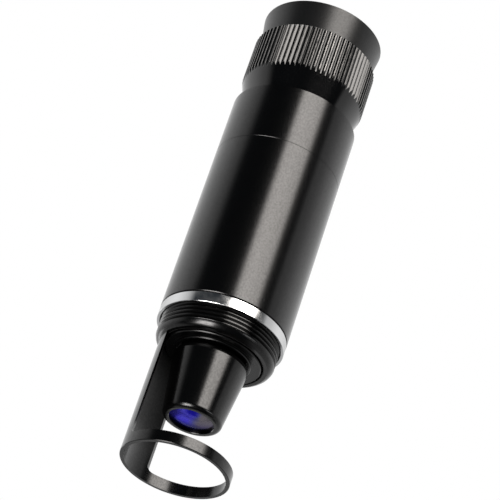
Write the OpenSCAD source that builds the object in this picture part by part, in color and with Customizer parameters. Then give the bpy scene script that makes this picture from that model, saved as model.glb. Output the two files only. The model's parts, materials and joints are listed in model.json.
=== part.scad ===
// Viewing loupe: a tubular film magnifier that stands on a cut-away foot.
// Z runs up the optical axis towards the eye. The film lies at z = 0,
// and the open side of the foot faces -Y. Lengths are in millimetres.

/* [Barrel] */
// Outside diameter of both barrel tubes
barrel_d = 36; // [35.9:0.1:36.4]
// Height of the bottom edge of the lower tube
barrel_bottom = 45.1; // [45:0.05:45.4]
// Height of the seam between the lower and the upper tube
seam_height = 97.2; // [95:0.2:98]
// Height of the shoulder that the focus ring turns on
shoulder_height = 115.2; // [114.4:0.2:116]

/* [Stand-off] */
// Outside diameter of the foot ring and of the strip that carries it
skirt_d = 30.4; // [30.2:0.1:31]
// Wall of the foot ring and of the strip
skirt_wall = 1.1; // [1:0.05:1.1]
// Height of the foot ring
foot_height = 3.15; // [2.5:0.05:4]
// Angle that the strip spans outside, between the foot ring and the threaded collar
strip_angle = 87.5; // [60:0.5:120]
// Height of the collar's bottom face
collar_height = 35.35; // [35.2:0.05:35.4]
// Crest diameter of the collar's thread
thread_d = 33.5; // [33.3:0.05:33.6]
// Pitch of the collar's thread
thread_pitch = 1.25; // [1.2:0.05:1.3]

/* [Objective] */
// Height of the nose cone's tip above the film
tip_height = 14.9; // [14.7:0.1:15.4]
// Outside diameter of the nose cone at its tip
tip_d = 16.7; // [16.5:0.1:17]
// Largest outside diameter of the nose cone
nose_d = 20.8; // [20.4:0.1:21]
// Diameter of the clear opening in the nose cone's tip
tip_opening_d = 12.5; // [12.2:0.1:12.6]

/* [Focus ring] */
// Outside diameter of the knurled focus ring
ring_d = 35.8; // [35.6:0.1:35.9]
// Height of the focus ring
ring_length = 21.6; // [21.4:0.1:21.8]
// Number of grooves in the knurl
knurl_count = 74; // [60:1:80]
// Depth of the knurl grooves
knurl_depth = 0.38; // [0.3:0.02:0.42]

/* [Eyepiece] */
// Outside diameter of the sliding eyepiece tube
eye_tube_d = 25; // [24.8:0.1:25]
// Rise of the eyepiece over the focus ring's full turn
eye_travel = 4; // [2:0.5:4]
// Outside diameter of the eyecup at its base
cup_base_d = 32.8; // [32:0.1:33.4]
// Outside diameter of the eyecup at its rim
cup_rim_d = 35.2; // [34.6:0.1:35.6]
// Height of the eyecup
cup_height = 8.7; // [8.4:0.1:9]

/* [Hidden] */
$fn = 128;

// Clearances: between fixed pieces, in a turning or sliding fit, and over a thread
seat_gap = 0.02;
fit_gap = 0.05;
thread_gap = 0.1;

// Small edge breaks
edge = 0.15;
seam_edge = 0.06;
bevel = 0.3;

// Foot and collar
barrel_r = barrel_d / 2;
skirt_ro = skirt_d / 2;
skirt_ri = skirt_ro - skirt_wall;
thread_r = thread_d / 2;
thread_depth = 0.75;
thread_land = 0.14;
thread_root = 0.15;
collar_round = 2.4;
collar_round_r = thread_r - collar_round;
collar_round_low = acos((skirt_ro - collar_round_r) / collar_round);
collar_round_high = 12;
collar_round_z = collar_height + collar_round * sin(collar_round_low);
thread_low = collar_round_z - collar_round * sin(collar_round_high);
collar_length = 14;
collar_top = collar_height + collar_length;
strip_front = skirt_ro * cos(strip_angle / 2);
corner_r = 1.5;

// Lock ring
lock_length = 3.1;
lock_top = barrel_bottom - 0.25;
lock_mouth = 0.35;

// Lower tube
thread_bore_r = thread_r + thread_gap;
partition_bottom = barrel_bottom + 16.9;
partition_t = 4;
partition_top = partition_bottom + partition_t;
tube_bore_r = 16;
socket_r = 16.45;
socket_bottom = seam_height - 9.2;

// Objective carrier and its nut
carrier_r = 13.5;
carrier_face = collar_height - 0.35;
boss_height = 0.3;
boss_r = 10.75;
carrier_bevel = 0.2;
boss_z = carrier_face - boss_height;
carrier_mouth_r = 9.9;
carrier_mouth_depth = 1.9;
shank_r = 9;
shank_top = carrier_face + 6.2;
stop_seat = shank_top + 1.2;
carrier_neck_r = 12.4;
carrier_bore_r = 11.2;
carrier_top = partition_top + 2.6;
nut_t = 2.2;
nut_r = 15.4;

// Nose cone and the lenses in it
nose_r = nose_d / 2;
tip_r = tip_d / 2;
tip_round = 1.3;
tip_round_end = 7;
tip_opening_r = tip_opening_d / 2;
lip_top = tip_height + 0.9;
shoulder_z = 32.4;
shoulder_round = 2.4;
shank_relief_r = shank_r - 0.3;
shoulder_end = acos((shank_relief_r - nose_r + shoulder_round) / shoulder_round);
cell_r = 6.8;
glass_r = cell_r - fit_gap;
front_radius = 20;
cement_radius = 14;
rear_radius = 22;
spacer_wall = 0.85;
spacer_ri = glass_r - spacer_wall;
front_edge_low = lip_top + lens_drop(front_radius, tip_opening_r, glass_r) + seat_gap;
front_edge_high = front_edge_low + 1.2;
flint_top = front_edge_high + 3.3;
spacer_bottom = flint_top + seat_gap;
rear_edge_low = flint_top + 6;
rear_drop = lens_drop(rear_radius, spacer_ri, glass_r) + seat_gap;
rear_edge_high = rear_edge_low + 1.6;
retainer_bottom = rear_edge_high + rear_drop;
retainer_t = 2;

// Aperture stop and the two glare baffles
stop_r = 3.5;
stop_t = 0.8;
baffle_t = 1.5;
baffle_lip = 0.6;
lower_baffle_z = partition_top + 10;
lower_baffle_hole = 8;
upper_baffle_z = socket_bottom + 4;
upper_baffle_hole = 9.5;

// Thrust washer and backlash spring above the collar
washer_ri = skirt_ri + 0.1;
washer_ro = 16.5;
washer_bottom = collar_top + fit_gap;
washer_t = 0.8;
spring_r = 15.3;
spring_wire_r = 0.4;
spring_turns = 5;
spring_steps = 24;
spring_sides = 8;
spring_low = washer_bottom + washer_t + spring_wire_r + fit_gap;
spring_high = partition_bottom - spring_wire_r - fit_gap;

// Upper tube, its spigot and its neck
spigot_r = socket_r - fit_gap;
spigot_ri = 15.2;
eye_tube_r = eye_tube_d / 2;
guide_r = eye_tube_r + fit_gap;
guide_bottom = seam_height + 5.8;
neck_r = 14.6;
neck_top = shoulder_height + 6.5;
neck_thread_r = 13.9;
neck_end = neck_top + 2.8;
o_ring_z = shoulder_height + 4.7;
o_ring_r = 14.05;
o_ring_wire_r = 0.42;
o_groove_r = 13.55;
o_groove_half = 0.55;
key_z = shoulder_height + 2.8;
key_r = 0.8;
key_tip = eye_tube_r - 0.7;
key_head = neck_r - 0.2;
hex_r = 0.45;
hex_depth = 0.7;

// Focus ring, its retainer and its helicoid nut
ring_r = ring_d / 2;
ring_bottom = shoulder_height + 0.6;
ring_top = ring_bottom + ring_length;
ring_bevel_height = 8.2;
ring_foot_r = ring_r - 2.45;
ring_bore_r = neck_r + fit_gap;
ring_shoulder = neck_top + 0.1;
ring_hollow_r = 16;
groove_half_angle = 52;
groove_cut = 0.4;
knurl_root = 0.3;
collar_ring_bottom = ring_shoulder + 0.1;
collar_ring_t = 2.4;
collar_ring_r = 15.7;
nut_ring_bottom = neck_end + 1.5;
nut_ring_t = 7;
nut_ring_r = ring_hollow_r - fit_gap;

// Eyepiece tube and what it holds
eye_bore_r = 11;
eye_glass_r = eye_bore_r - fit_gap;
eye_tube_bottom = guide_bottom + 2;
eye_lip_t = 1;
eye_lip_r = 10;
cup_bottom = ring_top + 0.3;
hub_top = cup_bottom + 2.6;
hub_r = eye_tube_r - 0.5;
hub_shoulder = cup_bottom - 0.8;
helix_low = shoulder_height + 6.4;
helix_high = ring_top - 1.6;
helix_pitch = 1.5;
helix_depth = 0.45;
helix_root = 0.2;
slot_low = key_z - key_r - eye_travel - 0.3;
slot_high = key_z + key_r + 0.3;
slot_depth = 0.85;
slot_half = key_r + fit_gap;
field_stop_z = eye_tube_bottom + eye_lip_t + seat_gap;
field_stop_t = 1;
field_stop_hole = 6.5;
field_spacer_t = 5.6;
eye_spacer_wall = 1.05;
eye_spacer_ri = eye_glass_r - eye_spacer_wall;
field_radius = 30;
eye_radius = 26;
field_drop = lens_drop(field_radius, eye_spacer_ri, eye_glass_r) + seat_gap;
eye_drop = lens_drop(eye_radius, eye_spacer_ri, eye_glass_r) + seat_gap;
field_spacer_bottom = field_stop_z + field_stop_t + seat_gap;
field_edge_low = field_spacer_bottom + field_spacer_t + seat_gap;
field_edge_high = field_edge_low + 1.5;
eye_spacer_bottom = field_edge_high + field_drop;
eye_edge_low = eye_spacer_bottom + 12;
eye_edge_high = eye_edge_low + 1.6;
eye_retainer_bottom = eye_edge_high + eye_drop;
eye_retainer_t = 1.8;

// Eyecup
cup_base_r = cup_base_d / 2;
cup_rim_r = cup_rim_d / 2;
cup_top = cup_bottom + cup_height;
cup_floor = cup_bottom + 3.5;
cup_hole_r = 9.5;
cup_wall = 0.9;
cup_round = 0.3;

// ---- Helpers ----

// Height of a spherical cap of radius r cut from a sphere of radius ball
function sag(ball, r) = ball - sqrt(ball * ball - r * r);

// How far a domed face rises from its edge circle to a smaller seat circle
function lens_drop(ball, seat, r) = sag(ball, r) - sag(ball, seat);

// Points of an arc from angle a0 to a1 about (r, z)
function arc(r, z, radius, a0, a1, steps = 8) =
    [for (i = [0:steps]) let (a = a0 + (a1 - a0) * i / steps)
        [r + radius * cos(a), z + radius * sin(a)]];

// A turned piece from its half section of [radius, height] points
module turned(section) {
    rotate_extrude() polygon(section);
}

// A plain ring or tube
module ring(ro, ri, z0, height) {
    turned([[ri, z0], [ro, z0], [ro, z0 + height], [ri, z0 + height]]);
}

// V grooves along a turned outside, from height z0 to z1, as section points going up
function grooves(r, z0, z1, pitch, depth, land, root) =
    [for (z = [z0:pitch:z1 - pitch], p = [
        [r, z + land / 2],
        [r - depth, z + pitch / 2 - root / 2],
        [r - depth, z + pitch / 2 + root / 2],
        [r, z + pitch - land / 2]]) p];

// A lens with a ground edge between z0 and z1, and domed faces below and above
module lens(r, z0, z1, ball_low, ball_high) {
    low = z0 - sag(ball_low, r);
    high = z1 + sag(ball_high, r);
    intersection() {
        translate([0, 0, low - 1]) cylinder(r = r, h = high - low + 2);
        translate([0, 0, low + ball_low]) sphere(r = ball_low);
        translate([0, 0, high - ball_high]) sphere(r = ball_high);
    }
}

// Two opposite notches for a spanner, across the top of a ring
module spanner_notches(ro, ri, z_top, width = 1.6, depth = 1) {
    for (side = [0, 180]) rotate([0, 0, side])
        translate([ri - 1, -width / 2, z_top - depth])
            cube([ro - ri + 2, width, depth + 1]);
}

// ---- Stand-off: foot ring, strip and threaded collar in one piece ----

// The skirt swells to the thread in one round shoulder; a single bore runs through from end to end
module collar_section() {
    polygon(concat(
        [[skirt_ri, 0], [skirt_ro - edge, 0], [skirt_ro, edge]],
        arc(collar_round_r, collar_round_z, collar_round, -collar_round_low, -collar_round_high),
        grooves(thread_r, thread_low, collar_top - edge, thread_pitch,
            thread_depth, thread_land, thread_root),
        [[thread_r, collar_top - edge], [thread_r - edge, collar_top], [skirt_ri, collar_top]]));
}

// The window milled through the front of the skirt, with a rounded corner above the foot ring
module window() {
    reach = 2 * skirt_ro;
    translate([-skirt_ro - 1, strip_front - reach, foot_height + corner_r])
        cube([2 * skirt_ro + 2, reach, collar_height - foot_height - corner_r]);
    translate([-skirt_ro - 1, strip_front - corner_r - reach, foot_height])
        cube([2 * skirt_ro + 2, reach, corner_r + 1]);
    translate([-skirt_ro - 1, strip_front - corner_r, foot_height + corner_r])
        rotate([0, 90, 0]) cylinder(r = corner_r, h = 2 * skirt_ro + 2);
}

module stand_off() {
    color("#1c1c1d") difference() {
        rotate_extrude() collar_section();
        window();
    }
}

module lock_ring() {
    bore = thread_bore_r;
    bottom = lock_top - lock_length;
    color("#d6d8da") turned([
        [bore, bottom + lock_mouth], [bore + lock_mouth, bottom], [barrel_r - edge, bottom],
        [barrel_r - fit_gap, bottom + edge - fit_gap], [barrel_r - fit_gap, lock_top - edge],
        [barrel_r - edge, lock_top], [bore, lock_top]]);
}

// ---- Barrel ----

module lower_barrel() {
    color("#161617") turned([
        [thread_bore_r, barrel_bottom + edge], [thread_bore_r + edge, barrel_bottom],
        [barrel_r - edge, barrel_bottom], [barrel_r, barrel_bottom + edge],
        [barrel_r, seam_height - seam_edge], [barrel_r - seam_edge, seam_height],
        [socket_r, seam_height], [socket_r, socket_bottom], [tube_bore_r, socket_bottom],
        [tube_bore_r, partition_top], [carrier_neck_r + fit_gap, partition_top],
        [carrier_neck_r + fit_gap, partition_bottom], [thread_bore_r, partition_bottom]]);
}

module upper_barrel() {
    color("#161617") difference() {
        turned([
            [spigot_ri, socket_bottom + fit_gap], [spigot_r, socket_bottom + fit_gap],
            [spigot_r, seam_height + seat_gap], [barrel_r - seam_edge, seam_height + seat_gap],
            [barrel_r, seam_height + seam_edge + seat_gap], [barrel_r, shoulder_height - edge],
            [barrel_r - edge, shoulder_height], [neck_r, shoulder_height],
            [neck_r, o_ring_z - o_groove_half], [o_groove_r, o_ring_z - o_groove_half],
            [o_groove_r, o_ring_z + o_groove_half], [neck_r, o_ring_z + o_groove_half],
            [neck_r, neck_top], [neck_thread_r, neck_top], [neck_thread_r, neck_end],
            [guide_r, neck_end], [guide_r, guide_bottom], [spigot_ri, guide_bottom - 3]]);
        translate([0, 0, key_z]) rotate([0, 90, 0]) cylinder(r = key_r + fit_gap, h = barrel_r);
    }
}

// ---- Objective ----

module objective_carrier() {
    color("#3a3b3c") turned([
        [carrier_mouth_r, boss_z + edge], [carrier_mouth_r + edge, boss_z],
        [boss_r - carrier_bevel, boss_z], [boss_r, boss_z + carrier_bevel], [boss_r, carrier_face],
        [carrier_r - carrier_bevel, carrier_face], [carrier_r, carrier_face + carrier_bevel],
        [carrier_r, partition_bottom - seat_gap], [carrier_neck_r, partition_bottom - seat_gap],
        [carrier_neck_r, carrier_top], [carrier_bore_r, carrier_top],
        [carrier_bore_r, stop_seat], [shank_r - 1.2, stop_seat], [shank_r - 1.2, shank_top],
        [shank_r + fit_gap, shank_top], [shank_r + fit_gap, carrier_face + carrier_mouth_depth],
        [carrier_mouth_r, carrier_face + carrier_mouth_depth]]);
}

module carrier_nut() {
    color("#2a2a2b") difference() {
        ring(nut_r, carrier_neck_r + fit_gap, partition_top + seat_gap, nut_t);
        spanner_notches(nut_r, carrier_neck_r, partition_top + seat_gap + nut_t);
    }
}

module nose_cone() {
    color("#19191a") turned(concat(
        [[tip_opening_r, tip_height + edge], [tip_opening_r + edge, tip_height]],
        arc(tip_r - tip_round, tip_height + tip_round, tip_round, -90, -tip_round_end),
        arc(nose_r - shoulder_round, shoulder_z, shoulder_round, 0, shoulder_end),
        [[shank_relief_r, carrier_face + carrier_mouth_depth - 0.6],
         [shank_r, carrier_face + carrier_mouth_depth - 0.3],
         [shank_r, shank_top - seat_gap], [cell_r, shank_top - seat_gap],
         [cell_r, lip_top], [tip_opening_r, lip_top]]));
}

module objective_crown() {
    color("#5046d2") lens(glass_r, front_edge_low, front_edge_high, front_radius, cement_radius);
}

module objective_flint() {
    hollow = front_edge_high + seat_gap + sag(cement_radius, glass_r) - cement_radius;
    color("#8c93a8") difference() {
        translate([0, 0, front_edge_high + seat_gap])
            cylinder(r = glass_r, h = flint_top - front_edge_high - seat_gap);
        translate([0, 0, hollow]) sphere(r = cement_radius);
    }
}

module objective_spacer() {
    color("#222223")
        ring(glass_r, spacer_ri, spacer_bottom, rear_edge_low - rear_drop - spacer_bottom);
}

module objective_rear_lens() {
    color("#a9b6c4") lens(glass_r, rear_edge_low, rear_edge_high, rear_radius, rear_radius);
}

module objective_retainer() {
    color("#b08d3c") difference() {
        ring(glass_r, spacer_ri, retainer_bottom, retainer_t);
        spanner_notches(glass_r, spacer_ri, retainer_bottom + retainer_t);
    }
}

module aperture_stop() {
    color("#1a1a1a") ring(carrier_bore_r - fit_gap, stop_r, stop_seat + seat_gap, stop_t);
}

// ---- Stand-off screw thread: thrust washer and backlash spring ----

module thrust_washer() {
    color("#9a7b34") ring(washer_ro, washer_ri, washer_bottom, washer_t);
}

// Height of the coil's centre line after a number of turns, flat for one turn at each end
function spring_z(turn) = spring_low + (spring_high - spring_low - 4 * spring_wire_r)
    * min(max((turn - 1) / (spring_turns - 2), 0), 1)
    + 2 * spring_wire_r * (min(turn, 1) + max(turn - spring_turns + 1, 0));

module backlash_spring() {
    rings = spring_turns * spring_steps;
    points = [for (i = [0:rings], s = [0:spring_sides - 1])
        let (turn = i / spring_steps, a = 360 * turn, b = 360 * s / spring_sides,
             r = spring_r + spring_wire_r * cos(b))
        [r * cos(a), r * sin(a), spring_z(turn) + spring_wire_r * sin(b)]];
    sides = [for (i = [0:rings - 1], s = [0:spring_sides - 1])
        let (a = i * spring_sides, next = (s + 1) % spring_sides)
        [a + s, a + spring_sides + s, a + spring_sides + next, a + next]];
    first = [for (s = [0:spring_sides - 1]) s];
    last = [for (s = [spring_sides - 1:-1:0]) rings * spring_sides + s];
    color("#b9bcc0") polyhedron(points = points, faces = concat(sides, [first, last]));
}

// ---- Glare baffles ----

module baffle(ro, hole, z0) {
    color("#141414") turned([
        [hole, z0], [ro, z0], [ro, z0 + baffle_t + baffle_lip],
        [ro - 1, z0 + baffle_t + baffle_lip], [ro - 1, z0 + baffle_t],
        [hole + baffle_t, z0 + baffle_t]]);
}

module baffle_lower() {
    baffle(tube_bore_r - fit_gap, lower_baffle_hole, lower_baffle_z);
}

module baffle_upper() {
    baffle(spigot_ri - fit_gap, upper_baffle_hole, upper_baffle_z);
}

// ---- Focus ring ----

// The knurl's grooves, cut parallel to the axis with a narrow flat root; they run out on the bevel
module knurl_cuts() {
    reach = knurl_depth + groove_cut;
    root = ring_r - knurl_depth;
    root_half = knurl_root / 2;
    half = root_half + reach * tan(groove_half_angle);
    for (i = [0:knurl_count - 1]) rotate([0, 0, 360 * i / knurl_count])
        translate([0, 0, ring_bottom - 1])
            linear_extrude(ring_length + 2)
                polygon([[root, root_half], [root, -root_half],
                    [root + reach, -half], [root + reach, half]]);
}

module focus_ring() {
    color("#151516") difference() {
        turned([
            [ring_bore_r, ring_bottom], [ring_foot_r, ring_bottom],
            [ring_r, ring_bottom + ring_bevel_height], [ring_r, ring_top - bevel],
            [ring_r - bevel, ring_top], [ring_hollow_r, ring_top],
            [ring_hollow_r, ring_shoulder], [ring_bore_r, ring_shoulder]]);
        knurl_cuts();
    }
}

module focus_nut() {
    color("#b08d3c") difference() {
        ring(nut_ring_r, eye_tube_r + thread_gap, nut_ring_bottom, nut_ring_t);
        spanner_notches(nut_ring_r, eye_tube_r, nut_ring_bottom + nut_ring_t);
    }
}

module ring_retainer() {
    color("#b08d3c") difference() {
        ring(collar_ring_r, neck_thread_r + fit_gap, collar_ring_bottom, collar_ring_t);
        spanner_notches(collar_ring_r, neck_thread_r, collar_ring_bottom + collar_ring_t);
    }
}

module focus_o_ring() {
    color("#0e0e0e") rotate_extrude() translate([o_ring_r, o_ring_z])
        circle(r = o_ring_wire_r, $fn = 32);
}

module key_screw() {
    color("#8f9296") translate([0, 0, key_z]) rotate([0, 90, 0]) difference() {
        translate([0, 0, key_tip]) cylinder(r = key_r, h = key_head - key_tip);
        translate([0, 0, key_head - hex_depth]) cylinder(r = hex_r, h = hex_depth + 1, $fn = 6);
    }
}

// ---- Eyepiece ----

module eyepiece_tube() {
    color("#1b1b1c") difference() {
        turned(concat(
            [[eye_lip_r, eye_tube_bottom], [eye_tube_r - bevel, eye_tube_bottom],
             [eye_tube_r, eye_tube_bottom + bevel]],
            grooves(eye_tube_r, helix_low, helix_high, helix_pitch, helix_depth,
                helix_pitch / 3, helix_root),
            [[eye_tube_r, hub_shoulder], [hub_r, hub_shoulder], [hub_r, hub_top],
             [eye_bore_r, hub_top], [eye_bore_r, eye_tube_bottom + eye_lip_t],
             [eye_lip_r, eye_tube_bottom + eye_lip_t]]));
        translate([eye_tube_r - slot_depth, -slot_half, slot_low])
            cube([slot_depth + 1, 2 * slot_half, slot_high - slot_low]);
    }
}

module field_stop() {
    color("#141414") ring(eye_glass_r, field_stop_hole, field_stop_z, field_stop_t);
}

module field_spacer() {
    color("#222223")
        ring(eye_glass_r, eye_spacer_ri, field_spacer_bottom, field_spacer_t - field_drop);
}

module field_lens() {
    color("#a9b6c4") lens(eye_glass_r, field_edge_low, field_edge_high,
        field_radius, field_radius);
}

module eyepiece_spacer() {
    color("#222223") ring(eye_glass_r, eye_spacer_ri, eye_spacer_bottom,
        eye_edge_low - eye_drop - eye_spacer_bottom);
}

module eye_lens() {
    color("#a9b6c4") lens(eye_glass_r, eye_edge_low, eye_edge_high, eye_radius, eye_radius);
}

module eye_lens_retainer() {
    color("#222223") difference() {
        ring(eye_glass_r, eye_spacer_ri, eye_retainer_bottom, eye_retainer_t);
        spanner_notches(eye_glass_r, eye_spacer_ri, eye_retainer_bottom + eye_retainer_t);
    }
}

module eyecup() {
    color("#121213") turned(concat(
        [[hub_r + fit_gap, cup_bottom + edge], [hub_r + fit_gap + edge, cup_bottom],
         [cup_base_r - edge, cup_bottom], [cup_base_r, cup_bottom + edge]],
        arc(cup_rim_r - cup_round, cup_top - cup_round, cup_round, 0, 90, 5),
        arc(cup_rim_r - cup_wall + cup_round, cup_top - cup_round, cup_round, 90, 180, 5),
        [[cup_base_r - 1.2, cup_floor + 1.1], [cup_base_r - 2.4, cup_floor + 0.4],
         [cup_hole_r + edge, cup_floor], [cup_hole_r, cup_floor - edge],
         [cup_hole_r, hub_top + seat_gap], [hub_r + fit_gap, hub_top + seat_gap]]));
}

stand_off();
lock_ring();
lower_barrel();
upper_barrel();
objective_carrier();
carrier_nut();
nose_cone();
objective_crown();
objective_flint();
objective_spacer();
objective_rear_lens();
objective_retainer();
aperture_stop();
thrust_washer();
backlash_spring();
baffle_lower();
baffle_upper();
focus_ring();
focus_nut();
ring_retainer();
focus_o_ring();
key_screw();
eyepiece_tube();
field_stop();
field_spacer();
field_lens();
eyepiece_spacer();
eye_lens();
eye_lens_retainer();
eyecup();
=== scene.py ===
"""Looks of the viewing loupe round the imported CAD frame.

Every CAD node keeps its shape and gets the procedural material of its slot. The backlash spring is
the one piece made here, because it has to shorten as the stand-off moves. The light is a world
shader that depends only on direction.
"""
import json
import math

import bpy
from mathutils import Matrix, Vector


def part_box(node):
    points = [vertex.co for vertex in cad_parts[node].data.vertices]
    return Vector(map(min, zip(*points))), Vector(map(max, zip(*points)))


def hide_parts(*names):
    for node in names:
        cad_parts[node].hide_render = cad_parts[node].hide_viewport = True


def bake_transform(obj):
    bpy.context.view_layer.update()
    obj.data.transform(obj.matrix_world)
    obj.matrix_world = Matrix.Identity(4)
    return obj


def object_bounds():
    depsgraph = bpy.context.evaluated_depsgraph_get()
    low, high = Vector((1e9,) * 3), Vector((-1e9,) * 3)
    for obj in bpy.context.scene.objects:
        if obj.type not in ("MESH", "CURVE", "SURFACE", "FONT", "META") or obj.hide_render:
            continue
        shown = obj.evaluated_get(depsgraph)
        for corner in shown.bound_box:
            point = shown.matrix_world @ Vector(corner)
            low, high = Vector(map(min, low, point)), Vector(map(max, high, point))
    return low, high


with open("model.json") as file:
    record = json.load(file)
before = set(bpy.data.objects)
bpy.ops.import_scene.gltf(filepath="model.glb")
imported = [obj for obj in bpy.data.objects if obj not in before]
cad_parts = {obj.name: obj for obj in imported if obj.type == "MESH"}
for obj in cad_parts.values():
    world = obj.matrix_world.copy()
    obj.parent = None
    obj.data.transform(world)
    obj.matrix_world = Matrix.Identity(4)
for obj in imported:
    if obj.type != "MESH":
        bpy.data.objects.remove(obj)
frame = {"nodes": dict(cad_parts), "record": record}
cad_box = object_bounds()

# ---- Where the main view stands, about the loupe's upright axis ----
VIEW_AZIMUTH = math.radians(200.75)   # direction of the camera from the axis, counter-clockwise from +X
VIEW_ELEVATION = math.radians(-30.5)  # the camera looks up at the foot end
VIEW_ROLL = math.radians(19.0)        # the top of the loupe leans right
VIEW_DISTANCE = 0.6996
VIEW_TARGET = Vector((0, 0, 0.0709))
LENS_MM = 181.9
SENSOR_MM = 36.0
CLIP_START, CLIP_END = 0.05, 20.0

MM = 0.001

# The knurl as the CAD frame has it: the first groove is on +X, and grooves run out on the bevel
RING_LOW, RING_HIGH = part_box("focus_ring")
KNURL_COUNT = 74
KNURL_R = RING_HIGH.x
KNURL_FOOT = RING_LOW.z + 8.2 * MM
KNURL_RUN_OUT = 1.3 * MM

# Lines on the knurl's crests, partly wear and partly a painted highlight: half their width and their
# soft edge, in shares of a tooth, and how far below the crests they end and are full
CREST_HALF, CREST_SOFT = 0.07, 0.05
WEAR_AND_GLINT_NONE_BELOW, WEAR_AND_GLINT_FULL_ABOVE = 0.12 * MM, 0.04 * MM
WEAR_AND_GLINT_VALUE, WEAR_AND_GLINT_METAL, WEAR_AND_GLINT_ROUGH = 0.16, 0.6, 0.28

# The flanks are slightly crowned: where they start, in shares of a tooth off the crest, half their
# width, and how fast the crown falls away with the square of the distance
FLANK_FROM, FLANK_HALF, FLANK_CROWN = 0.10, 0.29 * MM, 300.0

# Bump of the blasted grain under the anodising, weaker on the knurl
GRAIN, KNURL_GRAIN, GRAIN_DEPTH = 0.25, 0.12, 0.02 * MM

# The stand-off's bore is blasted duller than its outside, fading out towards the foot ring
BORE_R, BORE_BAND, BORE_SOFT = 14.1 * MM, 0.2 * MM, 0.05 * MM
BORE_MATT, BORE_GLOSSY_TO, BORE_MATT_FROM = 0.45, 3.5 * MM, 16.0 * MM

# The front lens, by distances from its centre. Along one axis the colour goes from the coating's violet
# to pale blue and then grey, a painted reflection. Across it one rim turns a deeper blue and is
# darkened, painted shade, and the other has a blue streak.
GREY_REFLECTION_AXIS, SHADE_AND_STREAK_AXIS = (0.45, -0.89, 0.0), (-0.93, -0.35, 0.0)
LENS_WANDER = 3 * MM
VIOLET, DEEP_BLUE = (0.12, 0.105, 0.95, 1.0), (0.03, 0.015, 0.75, 1.0)
PALE_BLUE, PAINTED_GREY_REFLECTION = (0.13, 0.14, 0.42, 1.0), (0.21, 0.195, 0.21, 1.0)
STREAK_BLUE = (0.012, 0.008, 0.5, 1.0)
DEEP_FULL, DEEP_END, DEEP_SHARE = -3.0 * MM, 0.4 * MM, 0.35
# Along the axis: where pale blue and then the painted grey reflection start and are full
PALE_FROM, PALE_FULL = -1.0 * MM, 1.2 * MM
GREY_REFLECTION_FROM, GREY_REFLECTION_FULL = 0.4 * MM, 2.4 * MM
STREAK_LOW, STREAK_HIGH, STREAK_SOFT = -2.7 * MM, 0.9 * MM, 0.9 * MM
STREAK_FROM, STREAK_FULL = 2.5 * MM, 3.7 * MM
# Painted shade darkening one rim of the front lens
SHADE_FULL, SHADE_END, SHADE_SHARE = -4.0 * MM, 1.5 * MM, 0.12

# Tints that a grey or a light is multiplied by
WHITE = (1.0, 1.0, 1.0)
WARM_GREY = (1.0, 0.97, 0.94)
COOL_GREY = (0.8, 0.98, 1.25)


# ---- Node helpers ----

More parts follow.
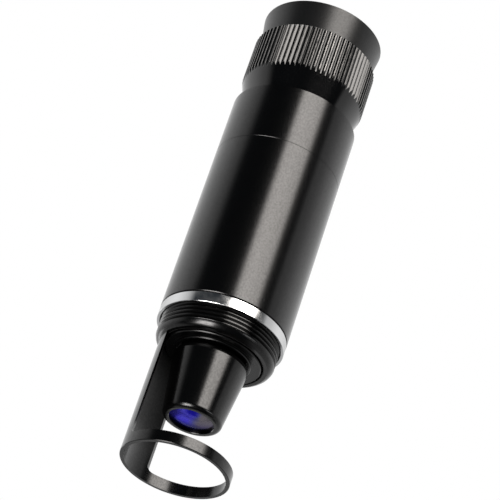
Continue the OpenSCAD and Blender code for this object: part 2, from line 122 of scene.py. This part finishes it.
class Tree:
    """A small builder for shader node trees."""

    def __init__(self, id_block):
        id_block.use_nodes = True
        self.nodes = id_block.node_tree.nodes
        self.links = id_block.node_tree.links
        self.nodes.clear()

    def node(self, kind, **settings):
        """A new node of this kind, with these settings."""
        made = self.nodes.new(kind)
        for key, value in settings.items():
            setattr(made, key, value)
        return made

    def feed(self, socket, value):
        """Links another node's output into a socket, or sets a plain value on it."""
        if isinstance(value, bpy.types.NodeSocket):
            self.links.new(value, socket)
        elif value is not None:
            socket.default_value = value

    def maths(self, operation, a, b=None):
        made = self.node("ShaderNodeMath", operation=operation)
        self.feed(made.inputs[0], a)
        self.feed(made.inputs[1], b)
        return made.outputs[0]

    def total(self, first, *rest):
        result = first
        for term in rest:
            result = self.maths("ADD", result, term)
        return result

    def product(self, first, *rest):
        result = first
        for factor in rest:
            result = self.maths("MULTIPLY", result, factor)
        return result

    def split(self, vector):
        """The x, y and z of a vector."""
        made = self.node("ShaderNodeSeparateXYZ")
        self.feed(made.inputs[0], vector)
        return made.outputs["X"], made.outputs["Y"], made.outputs["Z"]

    def dot(self, vector, direction):
        made = self.node("ShaderNodeVectorMath", operation="DOT_PRODUCT")
        self.feed(made.inputs[0], vector)
        self.feed(made.inputs[1], direction)
        return made.outputs["Value"]

    def ramp(self, value, low, high, to_low=0.0, to_high=1.0, smooth=True):
        """to_low below low, to_high above high, and a ramp between them."""
        made = self.node("ShaderNodeMapRange", clamp=True)
        made.interpolation_type = "SMOOTHSTEP" if smooth else "LINEAR"
        for socket, v in zip(made.inputs, (value, low, high, to_low, to_high)):
            self.feed(socket, v)
        return made.outputs["Result"]

    def band(self, value, low, high, soft_low, soft_high):
        """1 between low and high, falling to 0 over the soft widths."""
        rise = self.ramp(value, low - soft_low, low + soft_low)
        fall = self.ramp(value, high - soft_high, high + soft_high, 1.0, 0.0)
        return self.maths("MULTIPLY", rise, fall)

    def noise(self, vector, scale, detail, roughness=0.5):
        made = self.node("ShaderNodeTexNoise")
        self.feed(made.inputs["Vector"], vector)
        made.inputs["Scale"].default_value = scale
        made.inputs["Detail"].default_value = detail
        made.inputs["Roughness"].default_value = roughness
        return made.outputs["Fac"]

    def lathe_cuts(self, place, scale, detail):
        """Noise by radius plus height, which makes rings on flat faces and on tubes alike."""
        made = self.node("ShaderNodeTexNoise", noise_dimensions="1D")
        made.inputs["Scale"].default_value = scale
        made.inputs["Detail"].default_value = detail
        self.feed(made.inputs["W"], self.total(*self.axis_distance(place)))
        return made.outputs["Fac"]

    def blend(self, factor, a, b):
        made = self.node("ShaderNodeMix", data_type="RGBA")
        self.feed(made.inputs["Factor"], factor)
        self.feed(made.inputs["A"], a)
        self.feed(made.inputs["B"], b)
        return made.outputs["Result"]

    def tinted_sum(self, *lights):
        """The colour that these pairs of a strength and a tint add up to."""
        result = None
        for strength, tint in lights:
            scaled = self.node("ShaderNodeVectorMath", operation="SCALE")
            self.feed(scaled.inputs[0], tint)
            self.feed(scaled.inputs["Scale"], strength)
            if result is None:
                result = scaled.outputs[0]
                continue
            added = self.node("ShaderNodeVectorMath", operation="ADD")
            self.feed(added.inputs[0], result)
            self.feed(added.inputs[1], scaled.outputs[0])
            result = added.outputs[0]
        return result

    def place(self):
        """The shaded point in the object's own frame, which is the CAD frame."""
        return self.node("ShaderNodeTexCoord").outputs["Object"]

    def axis_distance(self, place):
        """Distance from the optical axis, and height along it."""
        x, y, height = self.split(place)
        x_squared = self.maths("MULTIPLY", x, x)
        y_squared = self.maths("MULTIPLY", y, y)
        return self.maths("SQRT", self.maths("ADD", x_squared, y_squared)), height

    def bump(self, height, strength, distance, below=None):
        """A bumped normal, laid over the one below if it is given."""
        made = self.node("ShaderNodeBump")
        made.inputs["Strength"].default_value = strength
        made.inputs["Distance"].default_value = distance
        self.feed(made.inputs["Height"], height)
        if below is not None:
            self.feed(made.inputs["Normal"], below)
        return made.outputs["Normal"]


def grey(value, tint=WHITE):
    """An opaque colour of this value, tinted."""
    return (*[value * t for t in tint], 1.0)


def principled(name, **values):
    """(material, tree, shader) of a Principled material with these plain socket values."""
    material = bpy.data.materials.new(name)
    tree = Tree(material)
    shader = tree.node("ShaderNodeBsdfPrincipled")
    output = tree.node("ShaderNodeOutputMaterial")
    tree.links.new(shader.outputs["BSDF"], output.inputs["Surface"])
    for key, value in values.items():
        shader.inputs[key.replace("_", " ")].default_value = value
    return material, tree, shader


# ---- Materials ----

def anodised(name, dark, light, rough, rough_spread, dulling):
    """Black anodising over blasted aluminium: fine grain in the gloss and faint mottling."""
    material, tree, shader = principled(name, IOR=1.5)
    place = tree.place()
    mottle = tree.noise(place, 260.0, 3.0)
    fine = tree.noise(place, 2000.0, 2.0, 0.7)
    coarse = tree.noise(place, 420.0, 2.0, 0.6)
    tree.feed(shader.inputs["Base Color"], tree.blend(mottle, grey(dark, COOL_GREY), grey(light)))
    tree.feed(shader.inputs["Metallic"], tree.ramp(fine, 0.36, 0.64, 0.0, dulling))
    uneven = tree.product(tree.maths("SUBTRACT", fine, 0.5), rough_spread)
    radius, height = tree.axis_distance(place)
    bore = tree.band(radius, BORE_R - BORE_BAND, BORE_R + BORE_BAND, BORE_SOFT, BORE_SOFT)
    blasted = tree.ramp(height, BORE_GLOSSY_TO, BORE_MATT_FROM, 0.0, BORE_MATT)
    tree.feed(shader.inputs["Roughness"], tree.total(uneven, rough, tree.product(bore, blasted)))
    relief = tree.total(fine, tree.product(coarse, 0.7))
    tree.feed(shader.inputs["Normal"], tree.bump(relief, GRAIN, GRAIN_DEPTH))
    return material


def satin_black():
    """The tubes, the nose cone and the stand-off."""
    return anodised("satin_black", dark=0.0002, light=0.0006, rough=0.19, rough_spread=0.20, dulling=0.20)


def cup_black():
    """The eyecup, duller and more even than the barrel."""
    return anodised("cup_black", dark=0.0012, light=0.0022, rough=0.33, rough_spread=0.12, dulling=0.12)


def knurled_black():
    """Anodised like the barrel; the knurl's crests are lighter and metallic, partly wear and partly a
    painted highlight, and its flanks are crowned.
    """
    material, tree, shader = principled("knurled_black", IOR=1.56)
    place = tree.place()
    radius, height = tree.axis_distance(place)
    x, y, _ = tree.split(place)
    turn = tree.maths("ARCTAN2", y, x)
    tooth = tree.maths("FRACT", tree.product(turn, KNURL_COUNT / (2 * math.pi)))
    off_crest = tree.maths("ABSOLUTE", tree.maths("SUBTRACT", tooth, 0.5))
    crest = tree.ramp(off_crest, CREST_HALF, CREST_HALF + CREST_SOFT, 1.0, 0.0)
    outside = tree.ramp(radius, KNURL_R - WEAR_AND_GLINT_NONE_BELOW, KNURL_R - WEAR_AND_GLINT_FULL_ABOVE)
    patchy = tree.ramp(tree.noise(place, 600.0, 3.0), 0.30, 0.62, 0.25, 1.0)
    # Crest lines lighter and metallic: wear, and a painted highlight along the crests
    wear_and_glint = tree.product(crest, outside, patchy)
    fine = tree.noise(place, 2600.0, 3.0, 0.7)
    body = tree.blend(fine, grey(0.0003, COOL_GREY), grey(0.0010))
    tree.feed(shader.inputs["Base Color"], tree.blend(wear_and_glint, body, grey(WEAR_AND_GLINT_VALUE, WARM_GREY)))
    tree.feed(shader.inputs["Metallic"], tree.product(wear_and_glint, WEAR_AND_GLINT_METAL))
    gloss = tree.ramp(fine, 0.3, 0.7, 0.09, 0.15)
    tree.feed(shader.inputs["Roughness"], tree.total(gloss, tree.product(wear_and_glint, WEAR_AND_GLINT_ROUGH)))
    flank = tree.ramp(off_crest, FLANK_FROM, 0.5, -FLANK_HALF, FLANK_HALF, smooth=False)
    cut = tree.ramp(height, KNURL_FOOT - KNURL_RUN_OUT, KNURL_FOOT)
    crowned = tree.bump(tree.product(flank, flank, -FLANK_CROWN, cut), 1.0, 1.0)
    tree.feed(shader.inputs["Normal"], tree.bump(fine, KNURL_GRAIN, GRAIN_DEPTH, crowned))
    return material


def turned_black():
    """Anodising over coarse facing cuts: rings on faces and on tubes."""
    material, tree, shader = principled("turned_black", IOR=1.46)
    rings = tree.lathe_cuts(tree.place(), 1500.0, 3.0)
    tree.feed(shader.inputs["Base Color"], tree.blend(rings, grey(0.0004, COOL_GREY), grey(0.0015)))
    tree.feed(shader.inputs["Roughness"], tree.ramp(rings, 0.3, 0.7, 0.14, 0.30))
    tree.feed(shader.inputs["Normal"], tree.bump(rings, 0.6, 0.05 * MM))
    return material


def bright_chrome():
    """Turned and polished bright metal with fine tool lines round the ring."""
    material, tree, shader = principled(
        "bright_chrome", IOR=1.5, Metallic=1.0, Specular_Tint=grey(0.72))
    place = tree.place()
    lines = tree.lathe_cuts(place, 9000.0, 2.0)
    haze = tree.noise(place, 420.0, 3.0)
    colour = tree.blend(haze, grey(0.66, (0.985, 1.0, 1.01)), grey(0.72))
    tree.feed(shader.inputs["Base Color"], colour)
    tree.feed(shader.inputs["Roughness"], tree.ramp(haze, 0.3, 0.7, 0.14, 0.24))
    tree.feed(shader.inputs["Normal"], tree.bump(lines, 0.25, 0.004 * MM))
    return material


def matt_black():
    """Dead black anti-reflection finish with a fine tooth."""
    material, tree, shader = principled("matt_black", IOR=1.45)
    place = tree.place()
    tooth = tree.noise(place, 5200.0, 3.0)
    colour = tree.blend(tooth, grey(0.003), grey(0.009))
    tree.feed(shader.inputs["Base Color"], colour)
    tree.feed(shader.inputs["Roughness"], tree.ramp(tooth, 0.3, 0.7, 0.55, 0.75))
    tree.feed(shader.inputs["Normal"], tree.bump(tooth, 0.4, 0.02 * MM))
    return material


def glass(name, tint, coat_tint):
    """Polished glass with a thin coating whose tint varies a little over the face."""
    material, tree, shader = principled(name, IOR=1.52, Transmission_Weight=1.0)
    place = tree.place()
    cloud = tree.noise(place, 180.0, 2.0)
    tree.feed(shader.inputs["Base Color"], tree.blend(cloud, tint, coat_tint))
    smear = tree.noise(place, 700.0, 3.0)
    tree.feed(shader.inputs["Roughness"], tree.ramp(smear, 0.4, 0.8, 0.01, 0.04))
    return material


def coated_glass():
    """The front lens: its coating mirrors violet; its colour turns grey towards one side, a painted
    reflection, and darker towards one rim, painted shade.
    """
    material, tree, shader = principled(
        "coated_glass", IOR=1.5, Metallic=0.92, Specular_Tint=(0.28, 0.25, 0.6, 1.0),
        Coat_Weight=0.15, Coat_Roughness=0.05, Coat_IOR=1.5)
    place = tree.place()
    cloud = tree.noise(place, 240.0, 2.0)
    wander = tree.product(tree.maths("SUBTRACT", cloud, 0.5), LENS_WANDER)
    across = tree.total(tree.dot(place, GREY_REFLECTION_AXIS), wander)
    beside = tree.total(tree.dot(place, SHADE_AND_STREAK_AXIS), wander)
    deep = tree.ramp(beside, DEEP_FULL, DEEP_END, DEEP_SHARE, 0.0)
    violet = tree.blend(deep, VIOLET, DEEP_BLUE)
    # Pale blue and then grey along this axis: a painted reflection
    pale = tree.blend(tree.ramp(across, PALE_FROM, PALE_FULL), violet, PALE_BLUE)
    colour = tree.blend(tree.ramp(across, GREY_REFLECTION_FROM, GREY_REFLECTION_FULL), pale, PAINTED_GREY_REFLECTION)
    streak = tree.product(tree.band(across, STREAK_LOW, STREAK_HIGH, STREAK_SOFT, STREAK_SOFT),
                          tree.ramp(beside, STREAK_FROM, STREAK_FULL))
    streaked = tree.blend(streak, colour, STREAK_BLUE)
    # Darker towards one rim: painted shade
    shade = tree.ramp(beside, SHADE_FULL, SHADE_END, SHADE_SHARE, 1.0)
    tree.feed(shader.inputs["Base Color"], tree.blend(shade, grey(0.0), streaked))
    smear = tree.noise(place, 900.0, 3.0)
    tree.feed(shader.inputs["Roughness"], tree.ramp(smear, 0.4, 0.8, 0.26, 0.34))
    return material


def turned_metal(name, low, high, rough_low, rough_high):
    """Bare turned metal, such as brass or steel."""
    material, tree, shader = principled(name, Metallic=1.0)
    place = tree.place()
    lines = tree.lathe_cuts(place, 7000.0, 3.0)
    tarnish = tree.noise(place, 350.0, 3.0)
    tree.feed(shader.inputs["Base Color"], tree.blend(tarnish, low, high))
    tree.feed(shader.inputs["Roughness"], tree.ramp(lines, 0.3, 0.7, rough_low, rough_high))
    tree.feed(shader.inputs["Normal"], tree.bump(lines, 0.4, 0.01 * MM))
    return material


def rubber():
    """Nitrile rubber with a faint bloom."""
    material, tree, shader = principled("rubber", IOR=1.5)
    place = tree.place()
    bloom = tree.noise(place, 900.0, 3.0)
    tree.feed(shader.inputs["Base Color"], tree.blend(bloom, grey(0.006), grey(0.014)))
    tree.feed(shader.inputs["Roughness"], tree.ramp(bloom, 0.3, 0.7, 0.5, 0.65))
    return material


def dress():
    """Gives each CAD node the procedural material of its slot, and returns the materials by slot."""
    made = {
        "satin_black": satin_black(),
        "cup_black": cup_black(),
        "knurled_black": knurled_black(),
        "turned_black": turned_black(),
        "bright_chrome": bright_chrome(),
        "matt_black": matt_black(),
        "coated_glass": coated_glass(),
        "clear_glass": glass("clear_glass", (0.90, 0.94, 1.0, 1.0), (0.82, 0.88, 1.0, 1.0)),
        "eye_glass": glass("eye_glass", (0.92, 0.95, 0.97, 1.0), (0.80, 0.88, 0.95, 1.0)),
        "brass": turned_metal("brass", (0.60, 0.42, 0.15, 1.0), (0.78, 0.57, 0.25, 1.0), 0.18, 0.34),
        "spring_steel": turned_metal("spring_steel", grey(0.45), grey(0.62), 0.2, 0.36),
        "rubber": rubber(),
    }
    for part in frame["record"]["subparts"]:
        for holder in frame["nodes"][part["node"]].material_slots:
            holder.material = made[part["material_slot"]]
    return made


# ---- Backlash spring ----

# The CAD spring's wire and turns, in finer steps
SPRING_WIRE_R = 0.4 * MM
SPRING_TURNS = 5
SPRING_STEPS, SPRING_SIDES = 48, 12   # rings a turn, and points round the wire


def spring(steel):
    """The backlash spring as a coil that shortens between the barrel and the thrust washer."""
    low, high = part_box("backlash_spring")
    coil_r = high.x - SPRING_WIRE_R
    bottom, top = low.z + SPRING_WIRE_R, high.z - SPRING_WIRE_R
    flat = 2 * SPRING_WIRE_R
    rise = top - bottom - 2 * flat

    def height(turn):
        """Height of the wire's centre: the first and the last turn lie flat against the next."""
        climbed = min(max((turn - 1) / (SPRING_TURNS - 2), 0.0), 1.0)
        return bottom + rise * climbed + flat * (min(turn, 1.0) + max(turn - SPRING_TURNS + 1, 0.0))

    rings = SPRING_TURNS * SPRING_STEPS
    points = []
    for ring in range(rings + 1):
        turn = ring / SPRING_STEPS
        around = 2 * math.pi * turn
        for side in range(SPRING_SIDES):
            across = 2 * math.pi * side / SPRING_SIDES
            reach = coil_r + SPRING_WIRE_R * math.cos(across)
            points.append((reach * math.cos(around), reach * math.sin(around),
                           height(turn) + SPRING_WIRE_R * math.sin(across)))
    faces = [tuple(range(SPRING_SIDES)),
             tuple(rings * SPRING_SIDES + side for side in reversed(range(SPRING_SIDES)))]
    for ring in range(rings):
        start = ring * SPRING_SIDES
        for side in range(SPRING_SIDES):
            after = (side + 1) % SPRING_SIDES
            faces.append((start + side, start + SPRING_SIDES + side,
                          start + SPRING_SIDES + after, start + after))
    mesh = bpy.data.meshes.new("backlash_coil")
    mesh.from_pydata(points, [], faces)
    mesh.shade_smooth()
    mesh.materials.append(steel)
    coil = bpy.data.objects.new("backlash_coil", mesh)
    bpy.context.scene.collection.objects.link(coil)
    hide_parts("backlash_spring")
    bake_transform(coil)


# ---- Studio ----

# The surround by direction: azimuth is counted from the main view's side, elevation from the
# horizon, both in degrees. White paper stands behind the loupe and a black flag in front of it.
PAPER_POWER = 1.05
PAPER_NEAR, PAPER_FAR, PAPER_NEAR_SHARE = 75.0, 110.0, 0.60
PAPER_LOW, PAPER_LEVEL, PAPER_LOW_SHARE = -32.0, 6.0, 0.5
PIT_EDGE, PIT_RIM, PIT_SHARE = -68.0, -46.0, 0.05
FLAG_POWER, FLAG_TINT = 0.03, (0.82, 0.98, 1.15)
FLAG_LEFT, FLAG_RIGHT = -74.0, 67.0
FLAG_SOFT_LEFT, FLAG_SOFT_RIGHT = 9.0, 4.0
# Below the horizon the flag widens to the left
FLAG_SKIRT, FLAG_SKIRT_LOW, FLAG_SKIRT_TOP = 32.0, -42.0, -12.0
KEY_LEFT, KEY_RIGHT, KEY_LOW, KEY_HIGH = 0.5, 44.0, 8.5, 62.0
KEY_SOFT, KEY_SOFT_LOW = 5.0, 2.0
KEY_LEAN, KEY_LEAN_FROM = 0.25, 30.0
KEY_POWER, KEY_TINT = 9.0, (1.0, 0.955, 0.91)
KEY_FADE_FROM, KEY_FADE_TO, KEY_FADE = 12.0, 46.0, 0.78
# A panel below and left of the camera: each edge is a plane through the loupe, given by its normal
# towards the camera, the camera's right and up; the far end dims as it passes under the loupe.
KICK_LEFT_EDGE, KICK_RIGHT_EDGE = (0.50, 0.76, -0.42), (0.21, 0.96, -0.17)
KICK_SOFT_LEFT, KICK_SOFT_RIGHT = 0.03, 0.04
KICK_FAR, KICK_FULL, KICK_NEAR, KICK_SOFT_NEAR = 4.0, 34.0, 67.0, 4.0
KICK_POWER, KICK_TINT = 14.0, (1.0, 0.97, 0.95)
# Low strip lights, which only views from above see in the loupe's walls
STRIP_AZIMUTHS = (-150.0, -38.0, 52.0)
STRIP_HALF, STRIP_LOW, STRIP_HIGH, STRIP_SOFT = 13.0, -22.0, -10.0, 2.0
STRIP_POWER = 2.6


def paper_light(tree, azimuth, elevation):
    """White paper all round, dimmer on the camera's side, below the horizon and under the loupe."""
    side = tree.maths("ABSOLUTE", azimuth)
    return tree.product(
        tree.ramp(side, PAPER_NEAR, PAPER_FAR, PAPER_NEAR_SHARE, 1.0),
        tree.ramp(elevation, PAPER_LOW, PAPER_LEVEL, PAPER_LOW_SHARE, 1.0),
        tree.ramp(elevation, PIT_EDGE, PIT_RIM, PIT_SHARE, 1.0),
        PAPER_POWER)


def flag_cover(tree, azimuth, elevation):
    """1 where the black flag hides the paper."""
    skirt = tree.ramp(elevation, FLAG_SKIRT_LOW, FLAG_SKIRT_TOP, FLAG_SKIRT, 0.0)
    skirted = tree.total(azimuth, skirt)
    return tree.product(
        tree.ramp(skirted, FLAG_LEFT - FLAG_SOFT_LEFT, FLAG_LEFT + FLAG_SOFT_LEFT),
        tree.ramp(azimuth, FLAG_RIGHT - FLAG_SOFT_RIGHT, FLAG_RIGHT + FLAG_SOFT_RIGHT, 1.0, 0.0))


def strip_light(tree, azimuth, elevation, centre):
    """One low strip, round this azimuth."""
    return tree.product(
        tree.band(azimuth, centre - STRIP_HALF, centre + STRIP_HALF, STRIP_SOFT, STRIP_SOFT),
        tree.band(elevation, STRIP_LOW, STRIP_HIGH, STRIP_SOFT, STRIP_SOFT),
        STRIP_POWER)


def key_light(tree, azimuth, elevation):
    """The tall key: its left edge leans, and it fades towards its right edge."""
    lean = tree.product(tree.maths("SUBTRACT", elevation, KEY_LEAN_FROM), KEY_LEAN)
    leaned = tree.total(azimuth, lean)
    return tree.product(
        tree.ramp(leaned, KEY_LEFT - KEY_SOFT, KEY_LEFT + KEY_SOFT),
        tree.ramp(azimuth, KEY_RIGHT - KEY_SOFT, KEY_RIGHT + KEY_SOFT, 1.0, 0.0),
        tree.band(elevation, KEY_LOW, KEY_HIGH, KEY_SOFT_LOW, KEY_SOFT_LOW),
        tree.ramp(azimuth, KEY_FADE_FROM, KEY_FADE_TO, 1.0, KEY_FADE),
        KEY_POWER)


def kick_light(tree, direction, near, right, up):
    """The panel below and left of the camera."""

    def beyond(edge):
        """How far a direction lies to the right of this edge."""
        return tree.dot(direction, edge[0] * near + edge[1] * right + edge[2] * up)

    angle = tree.maths("ARCTAN2", tree.dot(direction, near), tree.dot(direction, -up))
    under = tree.maths("DEGREES", angle)
    return tree.product(
        tree.ramp(beyond(KICK_LEFT_EDGE), -KICK_SOFT_LEFT, KICK_SOFT_LEFT),
        tree.ramp(beyond(KICK_RIGHT_EDGE), -KICK_SOFT_RIGHT, KICK_SOFT_RIGHT, 1.0, 0.0),
        tree.ramp(under, KICK_FAR, KICK_FULL),
        tree.ramp(under, KICK_NEAR - KICK_SOFT_NEAR, KICK_NEAR + KICK_SOFT_NEAR, 1.0, 0.0),
        KICK_POWER)


def surround():
    """Paper white to the camera; to the loupe, a studio that depends only on direction."""
    world = bpy.data.worlds.new("studio")
    bpy.context.scene.world = world
    tree = Tree(world)
    direction = tree.node("ShaderNodeTexCoord").outputs["Generated"]
    near = Vector((math.cos(VIEW_AZIMUTH), math.sin(VIEW_AZIMUTH), 0.0))
    right = Vector((-math.sin(VIEW_AZIMUTH), math.cos(VIEW_AZIMUTH), 0.0))
    up = Vector((0.0, 0.0, 1.0))
    angle = tree.maths("ARCTAN2", tree.dot(direction, right), tree.dot(direction, near))
    azimuth = tree.maths("DEGREES", angle)
    elevation = tree.maths("DEGREES", tree.maths("ARCSINE", tree.dot(direction, up)))

    flag = flag_cover(tree, azimuth, elevation)
    paper = tree.product(paper_light(tree, azimuth, elevation), tree.maths("SUBTRACT", 1.0, flag))
    strips = [strip_light(tree, azimuth, elevation, centre) for centre in STRIP_AZIMUTHS]
    light = tree.tinted_sum(
        (tree.total(paper, *strips), WHITE),
        (tree.product(flag, FLAG_POWER), FLAG_TINT),
        (key_light(tree, azimuth, elevation), KEY_TINT),
        (kick_light(tree, direction, near, right, up), KICK_TINT))

    studio = tree.node("ShaderNodeBackground")
    tree.feed(studio.inputs["Color"], light)
    white = tree.node("ShaderNodeBackground")
    white.inputs["Color"].default_value = grey(1.0)
    path = tree.node("ShaderNodeLightPath")
    mix = tree.node("ShaderNodeMixShader")
    tree.feed(mix.inputs["Fac"], path.outputs["Is Camera Ray"])
    tree.links.new(studio.outputs[0], mix.inputs[1])
    tree.links.new(white.outputs[0], mix.inputs[2])
    output = tree.node("ShaderNodeOutputWorld")
    tree.links.new(mix.outputs[0], output.inputs["Surface"])


# ---- Floor and camera ----

FLOOR_SIZE = 3.0
FLOOR_DROP = 0.02 * MM   # keeps the foot's face clear of the floor's
FLOOR_DARK, FLOOR_LIGHT = 0.80, 0.83


def floor():
    """A pale floor under the foot, clear from below because the main view looks up through it."""
    mesh = bpy.data.meshes.new("floor")
    half = FLOOR_SIZE / 2
    level = cad_box[0].z - FLOOR_DROP
    corners = [(-half, -half, level), (half, -half, level), (half, half, level), (-half, half, level)]
    mesh.from_pydata(corners, [], [(0, 1, 2, 3)])
    ground = bpy.data.objects.new("floor", mesh)
    bpy.context.scene.collection.objects.link(ground)
    material = bpy.data.materials.new("floor")
    tree = Tree(material)
    paper = tree.node("ShaderNodeBsdfDiffuse")
    cloud = tree.noise(tree.place(), 6.0, 2.0)
    tree.feed(paper.inputs["Color"], tree.blend(cloud, grey(FLOOR_DARK), grey(FLOOR_LIGHT)))
    clear = tree.node("ShaderNodeBsdfTransparent")
    mix = tree.node("ShaderNodeMixShader")
    tree.feed(mix.inputs["Fac"], tree.node("ShaderNodeNewGeometry").outputs["Backfacing"])
    tree.links.new(paper.outputs[0], mix.inputs[1])
    tree.links.new(clear.outputs[0], mix.inputs[2])
    output = tree.node("ShaderNodeOutputMaterial")
    tree.links.new(mix.outputs[0], output.inputs["Surface"])
    mesh.materials.append(material)
    ground.visible_diffuse = False
    ground.visible_glossy = False
    ground.visible_transmission = False
    ground.visible_shadow = False


def camera():
    """The main view: below the foot, looking up along the barrel, rolled so that the top leans right."""
    data = bpy.data.cameras.new("camera")
    data.lens = LENS_MM
    data.sensor_width = SENSOR_MM
    data.clip_start = CLIP_START
    data.clip_end = CLIP_END
    seat = bpy.data.objects.new("camera", data)
    bpy.context.scene.collection.objects.link(seat)
    outward = Vector((math.cos(VIEW_AZIMUTH) * math.cos(VIEW_ELEVATION),
                      math.sin(VIEW_AZIMUTH) * math.cos(VIEW_ELEVATION),
                      math.sin(VIEW_ELEVATION)))
    turn = (-outward).to_track_quat("-Z", "Y").to_matrix().to_4x4()
    roll = Matrix.Rotation(VIEW_ROLL, 4, "Z")
    seat.matrix_world = Matrix.Translation(VIEW_TARGET + outward * VIEW_DISTANCE) @ turn @ roll
    bpy.context.scene.camera = seat


camera()
finishes = dress()
spring(finishes["spring_steel"])
surround()
floor()
bpy.context.scene.view_settings.view_transform = "Standard"
